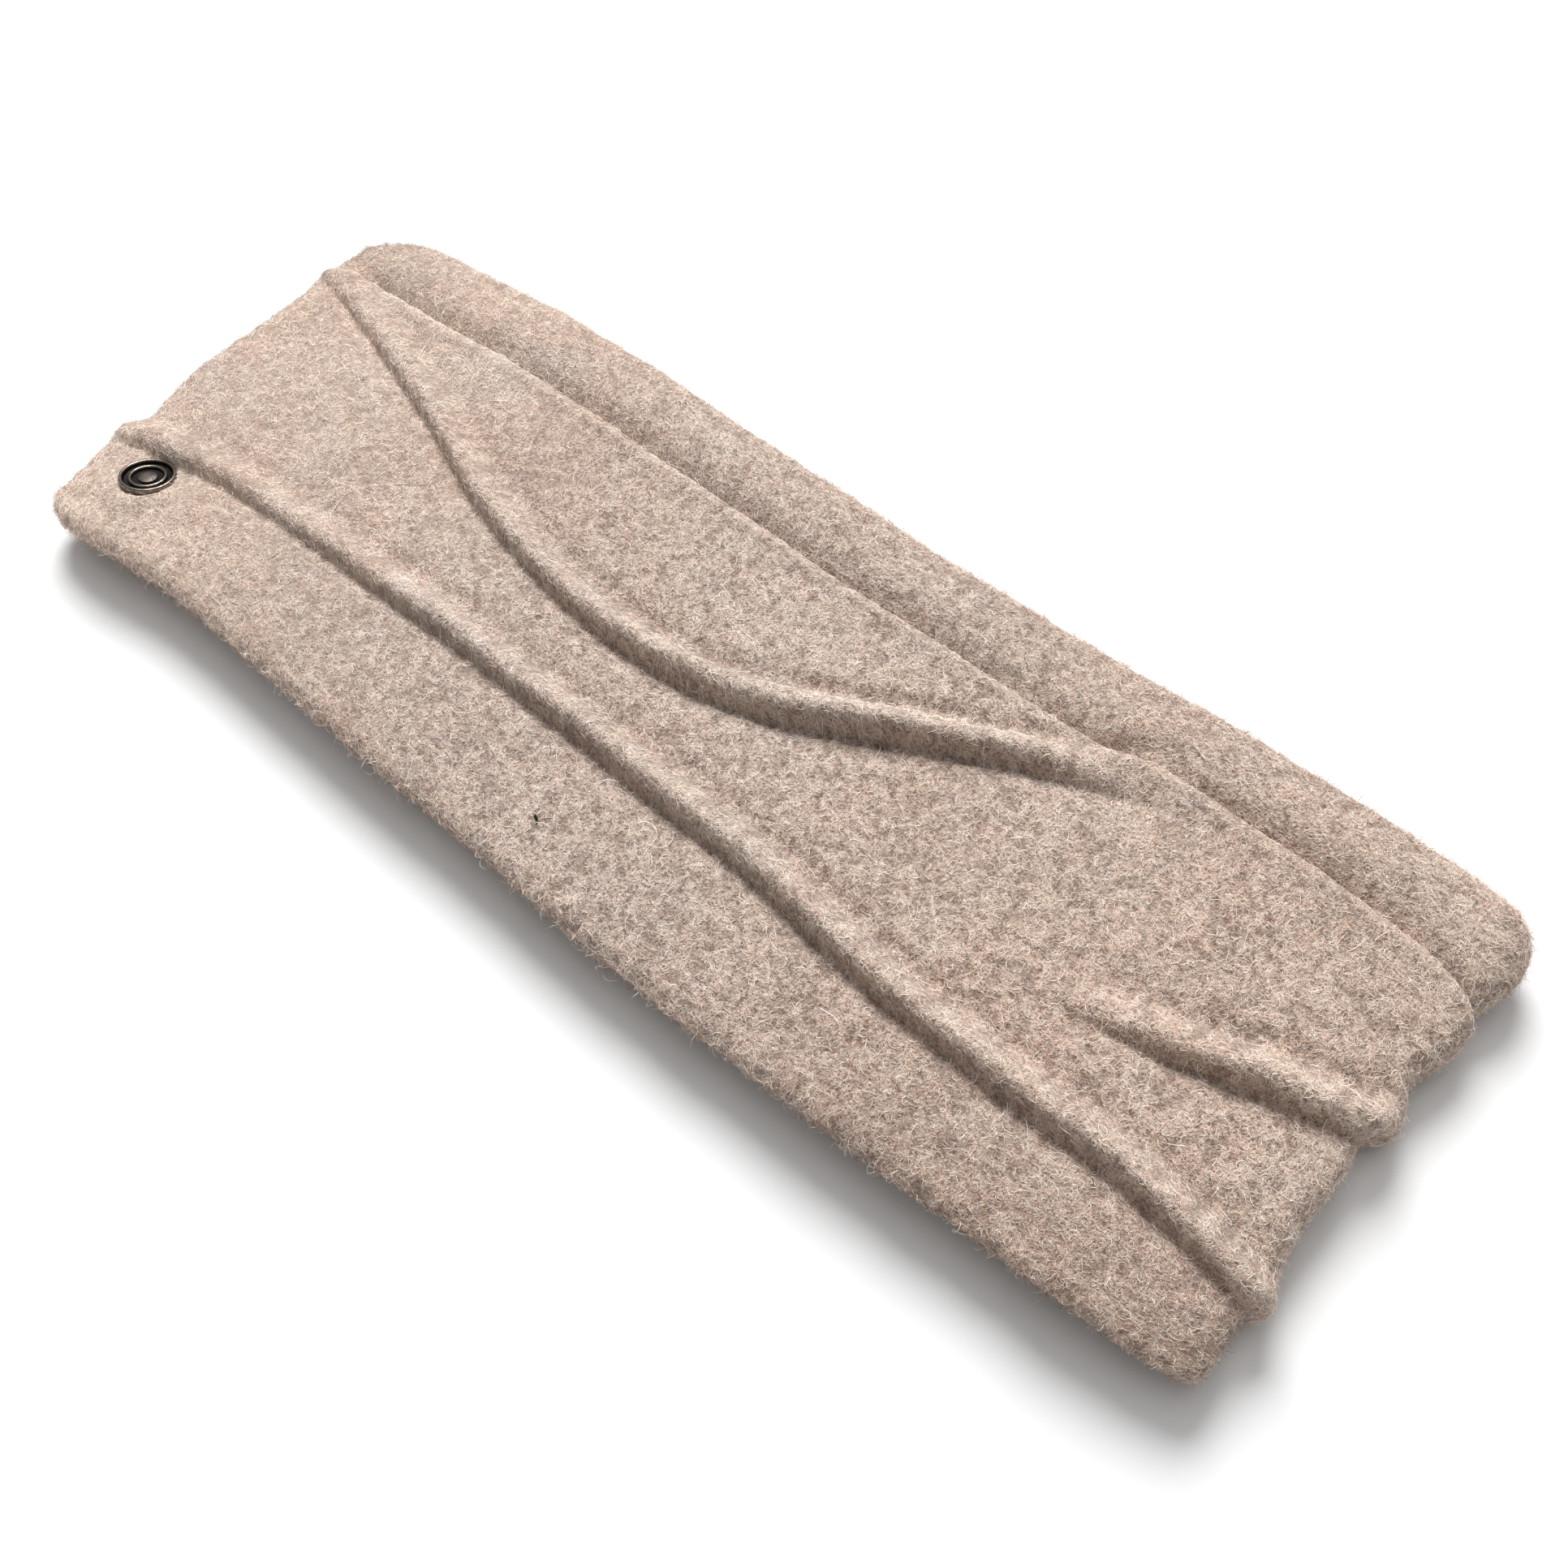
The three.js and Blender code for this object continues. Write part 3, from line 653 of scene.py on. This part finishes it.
class Nodes:
    """Short helpers for building one material's node tree."""

    def __init__(self, name):
        self.material = bpy.data.materials.new(name)
        self.material.use_nodes = True
        self.tree = self.material.node_tree
        self.shader = self.tree.nodes["Principled BSDF"]

    def add(self, kind, inputs=None, **settings):
        node = self.tree.nodes.new(kind)
        for key, value in settings.items():
            setattr(node, key, value)
        for key, value in (inputs or {}).items():
            self.feed(node.inputs[key], value)
        return node

    def feed(self, socket, value):
        if isinstance(value, bpy.types.NodeSocket):
            self.tree.links.new(value, socket)
        else:
            socket.default_value = value

    def math(self, operation, a, b=0.0):
        node = self.add("ShaderNodeMath", operation=operation)
        self.feed(node.inputs[0], a)
        self.feed(node.inputs[1], b)
        return node.outputs[0]

    def times(self, a, b):
        return self.math("MULTIPLY", a, b)

    def mix(self, factor, a, b):
        node = self.add("ShaderNodeMix", data_type="RGBA")
        self.feed(node.inputs["Factor"], factor)
        self.feed(node.inputs["A"], a)
        self.feed(node.inputs["B"], b)
        return node.outputs["Result"]

    def cloth(self, scale=(1, 1, 1)):
        """Unrolled position in metres, stretched by scale."""
        place = self.add("ShaderNodeAttribute", attribute_name="cloth")
        mapping = self.add("ShaderNodeMapping", {"Vector": place.outputs["Vector"], "Scale": scale})
        return mapping.outputs["Vector"]

    def noise(self, vector, size_mm, detail=2.0, roughness=0.5, distortion=0.0):
        values = {"Vector": vector, "Scale": 1000 / size_mm, "Detail": detail,
                  "Roughness": roughness, "Distortion": distortion}
        return self.add("ShaderNodeTexNoise", values).outputs["Fac"]

    def ramp(self, factor, low, high):
        node = self.add("ShaderNodeMapRange", {"Value": factor, "From Min": low, "From Max": high})
        return node.outputs["Result"]


def curls(nodes, vector, size_mm, turns, seed_shift):
    """Thin curly lines: the contour lines of a noise."""
    shift = nodes.add("ShaderNodeVectorMath", operation="ADD")
    nodes.feed(shift.inputs[0], vector)
    shift.inputs[1].default_value = (seed_shift, seed_shift * 0.7, 0)
    value = nodes.noise(shift.outputs[0], size_mm, 1.5, 0.5, 0.4)
    wave = nodes.math("SINE", nodes.times(value, turns * 2 * math.pi))
    return nodes.math("ABSOLUTE", wave)


def cloth_zones(nodes, place):
    """Shares, from 0 to 1, of the left and right ends and of the low corner at each."""
    position = nodes.add("ShaderNodeSeparateXYZ", {"Vector": place}).outputs
    along, over = position["X"], position["Y"]
    return {
        "left": nodes.ramp(along, -0.02, -0.09),
        "right": nodes.ramp(along, 0.02, 0.1),
        "painted_light_low_left": nodes.times(nodes.ramp(along, -0.06, -0.09), nodes.ramp(over, -0.022, -0.038)),
        "painted_shade_low_right": nodes.times(nodes.ramp(along, 0.05, 0.1), nodes.ramp(over, -0.024, -0.036)),
    }


def broad_colour(nodes, place, zones):
    """The slow changes of the heather: rosy patches, pale clouds and mottling, with painted light at the
    left end, its low corner and the right end, rosier there, and painted shade, browner, at the low right
    corner.
    """
    patches = nodes.noise(place, 26, 2.0, 0.5, 0.6)
    clouds = nodes.noise(place, 6, 3.0, 0.6, 0.8)
    mottle = nodes.noise(place, 4.5, 2.0, 0.6, 1.0)
    ends = nodes.math("ADD", zones["left"], zones["right"])
    rosy_share = nodes.math("ADD", nodes.times(ends, 0.5), 0.5)
    rosy = nodes.times(nodes.ramp(patches, 0.35, 0.65), rosy_share)
    # Painted light: the left end, and more its low corner, are made lighter.
    painted_lighting = nodes.math("ADD", nodes.times(zones["left"], 0.08), nodes.times(zones["painted_light_low_left"], 0.65))
    mottle_share = nodes.math("ADD", nodes.times(zones["left"], 0.6), 0.04)
    colour = nodes.mix(rosy, srgb(195, 179, 168), srgb(191, 162, 146))
    # Clouds and mottle are the heather's own tones; the next mix is painted light at the left end and low
    # left corner, the right end gets painted light with its rosier tone, and the low right corner painted
    # shade with a browner tone.
    for share, tint in (
            (nodes.times(nodes.ramp(clouds, 0.45, 0.75), 0.45), srgb(206, 189, 175)),
            (painted_lighting, srgb(232, 209, 191)),
            (nodes.times(zones["right"], 0.38), srgb(228, 194, 171)),
            (nodes.times(zones["painted_shade_low_right"], 0.35), srgb(160, 129, 114)),
            (nodes.times(nodes.ramp(mottle, 0.5, 0.66), mottle_share), srgb(164, 142, 127))):
        colour = nodes.mix(share, colour, tint)
    return colour


def wool_material():
    """Heathered felt: a broad colour, brown gaps between the curls, and light curls, with a painted
    highlight on the tuck crests and painted shade in their grooves.
    """
    nodes = Nodes("felted_wool")
    place = nodes.cloth()
    zones = cloth_zones(nodes, place)
    colour = broad_colour(nodes, place, zones)
    fleck = nodes.noise(place, 1.5, 3.0, 0.7, 1.2)
    gaps = nodes.noise(place, 0.55, 1.0, 0.5, 0.8)
    speck = nodes.noise(place, 0.45, 1.0, 0.5, 0.8)
    lines = nodes.math("MINIMUM", curls(nodes, place, 1.9, 3.0, 0.0), curls(nodes, place, 1.5, 2.6, 0.37))
    # This attribute carries painted light besides the clumping: crests get fewer brown gaps and a light mix
    # as painted highlight, grooves more brown as painted shade.
    gathered = nodes.add("ShaderNodeAttribute", attribute_name="clumps").outputs["Fac"]
    crisp = nodes.math("SUBTRACT", 1.0, nodes.times(zones["left"], 0.6))
    for shade, low, high, amount, tint in (
            (gathered, 0.1, -0.45, 0.8, srgb(128, 101, 87)), (fleck, 0.5, 0.68, 0.5, srgb(138, 109, 94)),
            (gaps, 0.5, 0.62, 0.75, srgb(98, 75, 64)), (speck, 0.5, 0.72, 0.6, srgb(222, 209, 196)),
            (lines, 0.35, 0.0, 0.5, srgb(222, 209, 196))):
        share = nodes.times(nodes.ramp(shade, low, high), amount)
        colour = nodes.mix(nodes.times(share, crisp), colour, tint)
    # Painted highlight on the tuck crests, along with the lightest clumps.
    clump_and_crest_highlight_share = nodes.times(nodes.ramp(gathered, 0.3, 1.0), 0.45)
    colour = nodes.mix(clump_and_crest_highlight_share, colour, srgb(236, 220, 206))
    height = nodes.times(nodes.ramp(lines, 0.4, 0.0), 0.5)
    height = nodes.math("SUBTRACT", height, nodes.math("ADD", fleck, gaps))
    height = nodes.math("ADD", height, nodes.times(speck, 0.8))
    bump = nodes.add("ShaderNodeBump", {"Strength": 0.8, "Distance": 0.0004, "Height": height})
    shader = nodes.shader
    nodes.feed(shader.inputs["Base Color"], colour)
    nodes.feed(shader.inputs["Normal"], bump.outputs["Normal"])
    shader.inputs["Roughness"].default_value = 0.95
    shader.inputs["Specular IOR Level"].default_value = 0.15
    shader.inputs["Sheen Weight"].default_value = 0.35
    shader.inputs["Sheen Roughness"].default_value = 0.6
    shader.inputs["Sheen Tint"].default_value = srgb(240, 228, 216)
    return nodes.material


def fibre_material(name, colour):
    nodes = Nodes(name)
    shader = nodes.shader
    shader.inputs["Base Color"].default_value = colour
    shader.inputs["Roughness"].default_value = 0.75
    shader.inputs["Specular IOR Level"].default_value = 0.25
    shader.inputs["Sheen Weight"].default_value = 0.2
    return nodes.material


def lining_material():
    nodes = Nodes("brushed_lining")
    place = nodes.cloth()
    pile = nodes.noise(place, 1.1, 3.0, 0.6, 0.6)
    clouds = nodes.noise(place, 9, 2.0, 0.5, 0.5)
    colour = nodes.mix(nodes.ramp(clouds, 0.35, 0.65), srgb(222, 213, 200), srgb(207, 196, 182))
    colour = nodes.mix(nodes.times(nodes.ramp(pile, 0.4, 0.7), 0.4), colour, srgb(178, 165, 150))
    bump = nodes.add("ShaderNodeBump", {"Strength": 0.7, "Distance": 0.0004, "Height": pile})
    nodes.feed(nodes.shader.inputs["Base Color"], colour)
    nodes.feed(nodes.shader.inputs["Normal"], bump.outputs["Normal"])
    nodes.shader.inputs["Roughness"].default_value = 0.95
    nodes.shader.inputs["Sheen Weight"].default_value = 0.3
    return nodes.material


def metal_material(name, colour, dark, roughness):
    nodes = Nodes(name)
    coordinates = nodes.add("ShaderNodeTexCoord")
    worn = nodes.noise(coordinates.outputs["Object"], 0.7, 3.0, 0.6, 0.3)
    brushed = nodes.noise(coordinates.outputs["Object"], 0.25, 2.0, 0.5, 0.0)
    nodes.feed(nodes.shader.inputs["Base Color"], nodes.mix(nodes.ramp(worn, 0.35, 0.7), colour, dark))
    uneven = {"Value": worn, "To Min": roughness - 0.08, "To Max": roughness + 0.15}
    rough = nodes.add("ShaderNodeMapRange", uneven).outputs["Result"]
    nodes.feed(nodes.shader.inputs["Roughness"], rough)
    bump = nodes.add("ShaderNodeBump", {"Strength": 0.25, "Distance": 0.00005, "Height": brushed})
    nodes.feed(nodes.shader.inputs["Normal"], bump.outputs["Normal"])
    nodes.shader.inputs["Metallic"].default_value = 1.0
    return nodes.material


MATERIALS = {
    "wool": wool_material(),
    "lining": lining_material(),
    "fibre_cream": fibre_material("fibre_cream", srgb(248, 235, 222)),
    "fibre_beige": fibre_material("fibre_beige", srgb(224, 204, 189)),
    "fibre_rose": fibre_material("fibre_rose", srgb(212, 178, 160)),
    "fibre_brown": fibre_material("fibre_brown", srgb(146, 116, 101)),
    "loose_pale": fibre_material("loose_pale", srgb(253, 248, 240)),
    "loose_dark": fibre_material("loose_dark", srgb(34, 27, 24)),
    "gunmetal": metal_material("gunmetal", srgb(150, 140, 130), srgb(92, 84, 78), 0.3),
    "dull_metal": metal_material("dull_metal", srgb(112, 104, 97), srgb(70, 65, 60), 0.45),
    "dark_metal": metal_material("dark_metal", srgb(52, 49, 47), srgb(22, 20, 19), 0.4),
}


# ---------------------------------------------------------------- building the object
def build_cloth():
    rng = np.random.default_rng(SEED)
    for region in REGIONS:
        for kind in WOOL_PIECES:
            wool_piece(kind, region)
            pile(kind, region, rng)
        lining_piece(region)
    loose_hairs(rng)


# Which stretches of the frame's cloth each region takes the place of.
REGION_STRETCHES = {
    "front_left": ["front_left"], "front_right": ["front_middle", "front_right"],
    "fold_right": ["rear_right"], "rear_right": ["rear_middle_right"],
    "rear_left": ["rear_middle_left"], "fold_left": ["rear_left"],
}
REPLACED = {"felt_panel": "wool_panel", "felt_strip": "upper_strip", "fleece": "lining"}


def replace_cad():
    for region, stretches in REGION_STRETCHES.items():
        for stretch in stretches:
            for kind, cad_kind in REPLACED.items():
                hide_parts(f"{cad_kind}_{stretch}")
    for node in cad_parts:
        if node.startswith("tuck"):
            region = "front_left" if "left" in node else "front_right"
            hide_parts(node)


# ---------------------------------------------------------------- badge
TURNS = 96


def rounded(corners, radius):
    """A closed outline of (radius, height) corners with each corner off the axis rounded over."""
    outline = []
    for k, corner in enumerate(corners):
        here = np.array(corner, float)
        before = np.array(corners[k - 1], float) - here
        after = np.array(corners[(k + 1) % len(corners)], float) - here
        if corner[0] == 0:
            outline.append(here)
            continue
        cut = min(radius, 0.45 * np.linalg.norm(before), 0.45 * np.linalg.norm(after))
        start = here + before / np.linalg.norm(before) * cut
        end = here + after / np.linalg.norm(after) * cut
        for t in (0, 0.25, 0.5, 0.75, 1):
            outline.append((1 - t) ** 2 * start + 2 * t * (1 - t) * here + t**2 * end)
    return np.array(outline)


def turned(name, outline, looks):
    """A solid of revolution at the badge. looks(radius, height) picks each ring's material."""
    angles = np.arange(TURNS) * 2 * math.pi / TURNS
    radius, height = outline[:, 0:1], outline[:, 1:2]
    rings = np.stack([radius * np.cos(angles), radius * np.sin(angles), height + 0 * angles], -1)
    count = len(outline)
    a = np.arange(count)[:, None] * TURNS + np.arange(TURNS)[None, :]
    after = np.roll(a, -1, axis=1)
    faces = np.stack([a, after, np.roll(after, -1, axis=0), np.roll(a, -1, axis=0)], -1)
    mesh = bpy.data.meshes.new(name)
    mesh.from_pydata((rings.reshape(-1, 3) * MM).tolist(), [], faces.reshape(-1, 4).tolist())
    materials = sorted({looks(*point) for point in outline})
    for look in materials:
        mesh.materials.append(MATERIALS[look])
    middles = (outline + np.roll(outline, -1, axis=0)) / 2
    chosen = [materials.index(looks(*point)) for point in middles]
    mesh.polygons.foreach_set("material_index", np.repeat(chosen, TURNS).astype(np.int32))
    mesh.polygons.foreach_set("use_smooth", np.ones(len(mesh.polygons), bool))
    clean = bmesh.new()
    clean.from_mesh(mesh)
    bmesh.ops.remove_doubles(clean, verts=clean.verts, dist=1e-7)
    bmesh.ops.recalc_face_normals(clean, faces=clean.faces)
    clean.to_mesh(mesh)
    clean.free()
    obj = bpy.data.objects.new(name, mesh)
    bpy.context.scene.collection.objects.link(obj)
    foot, tip = (Vector(wrap(BADGE["run"], BADGE["across"], np.float64(h))) for h in (0, 1))
    upright = tip - foot + Vector((0, math.tan(BADGE["lean"]), 0))
    obj.rotation_mode = "QUATERNION"
    obj.rotation_quaternion = Vector((0, 0, 1)).rotation_difference(upright)
    obj.location = foot * MM
    bpy.context.view_layer.update()
    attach(obj, "front_left")
    return obj


def build_badge():
    """A dished cup with a raised rim, and a plain ring and dome in it."""
    rim, bottom, floor, top = BADGE["radius"], BADGE["bottom"], BADGE["floor"], BADGE["top"]
    inner = rim - 0.6
    cup = rounded([(0, bottom), (rim, bottom), (rim, top), (inner, top), (inner - 0.15, floor),
                   (0, floor)], 0.28)
    cup = turned("cup", cup, lambda r, z: "dark_metal" if r < inner - 0.05 and z > bottom else "gunmetal")
    angles = np.arange(16) * 2 * math.pi / 16
    hoop = np.stack([3.1 + 0.3 * np.cos(angles), floor + 0.34 + 0.3 * np.sin(angles)], -1)
    hoop = turned("hoop", hoop, lambda r, z: "gunmetal")
    dome = rounded([(0, floor), (1.7, floor), (1.7, floor + 0.3), (1.0, floor + 0.5),
                    (0, floor + 0.56)], 0.25)
    dome = turned("dome", dome, lambda r, z: "dull_metal")
    for obj, node, slot in ((cup, "badge_cup", "dark_metal"), (hoop, "badge_ring", "metal"),
                            (dome, "badge_centre_rivet", "metal")):
        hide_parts(node)
    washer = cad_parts["badge_washer"]
    washer.data.materials.clear()
    washer.data.materials.append(MATERIALS["gunmetal"])


# ---------------------------------------------------------------- light, floor and camera
def add_floor():
    bpy.ops.mesh.primitive_plane_add(size=3.0)
    floor = bpy.context.object
    floor.name = "floor"
    nodes = Nodes("floor")
    nodes.shader.inputs["Base Color"].default_value = (0.86, 0.86, 0.86, 1)
    nodes.shader.inputs["Roughness"].default_value = 0.9
    nodes.shader.inputs["Specular IOR Level"].default_value = 0.1
    floor.data.materials.append(nodes.material)


def add_light(name, place, aim, size, power):
    data = bpy.data.lights.new(name, "AREA")
    data.energy = power
    data.shape = "DISK"
    data.size = size
    light = bpy.data.objects.new(name, data)
    light.location = place
    light.rotation_euler = (Vector(aim) - Vector(place)).to_track_quat("-Z", "Y").to_euler()
    bpy.context.scene.collection.objects.link(light)


WORLD_STRENGTH = 0.26
# Each light: its place, the width of its disk and its power in watts.
LIGHTS = {"key": ((-0.27, 0.38, 0.64), 0.5, 8.8), "top": ((0.1, 0.1, 1.2), 0.9, 3.4)}

# Where the camera looks, from which direction and how far off, and its field of view.
CAMERA_TARGET = Vector((0.01936, -0.00188, 0))
CAMERA_ANGLES = {"azimuth": 50.66, "elevation": 57.25, "roll": -10.35}
CAMERA_DISTANCE = 0.3054
SENSOR_WIDTH = 36
LENS_TO_SENSOR = 1.217


def add_lights():
    world = bpy.data.worlds.new("studio")
    world.use_nodes = True
    world.node_tree.nodes["Background"].inputs["Color"].default_value = (1, 1, 1, 1)
    world.node_tree.nodes["Background"].inputs["Strength"].default_value = WORLD_STRENGTH
    bpy.context.scene.world = world
    for name, (place, size, power) in LIGHTS.items():
        add_light(name, place, (0, 0, 0), size, power)


def add_camera():
    """A close, high and slightly rolled camera. At azimuth 0 it would look along +Y."""
    azimuth, elevation, roll = (math.radians(a) for a in CAMERA_ANGLES.values())
    back = Vector((math.sin(azimuth) * math.cos(elevation), -math.cos(azimuth) * math.cos(elevation),
                   math.sin(elevation)))
    data = bpy.data.cameras.new("camera")
    data.lens = SENSOR_WIDTH * LENS_TO_SENSOR
    data.sensor_width = SENSOR_WIDTH
    data.clip_start = 0.01
    camera = bpy.data.objects.new("camera", data)
    camera.location = CAMERA_TARGET + back * CAMERA_DISTANCE
    upright = (-back).to_track_quat("-Z", "Y")
    camera.rotation_mode = "QUATERNION"
    camera.rotation_quaternion = upright @ Quaternion((0, 0, 1), roll)
    bpy.context.scene.collection.objects.link(camera)
    bpy.context.scene.camera = camera


add_camera()
add_floor()
add_lights()
build_cloth()
replace_cad()
build_badge()
bpy.context.scene.view_settings.view_transform = "Standard"
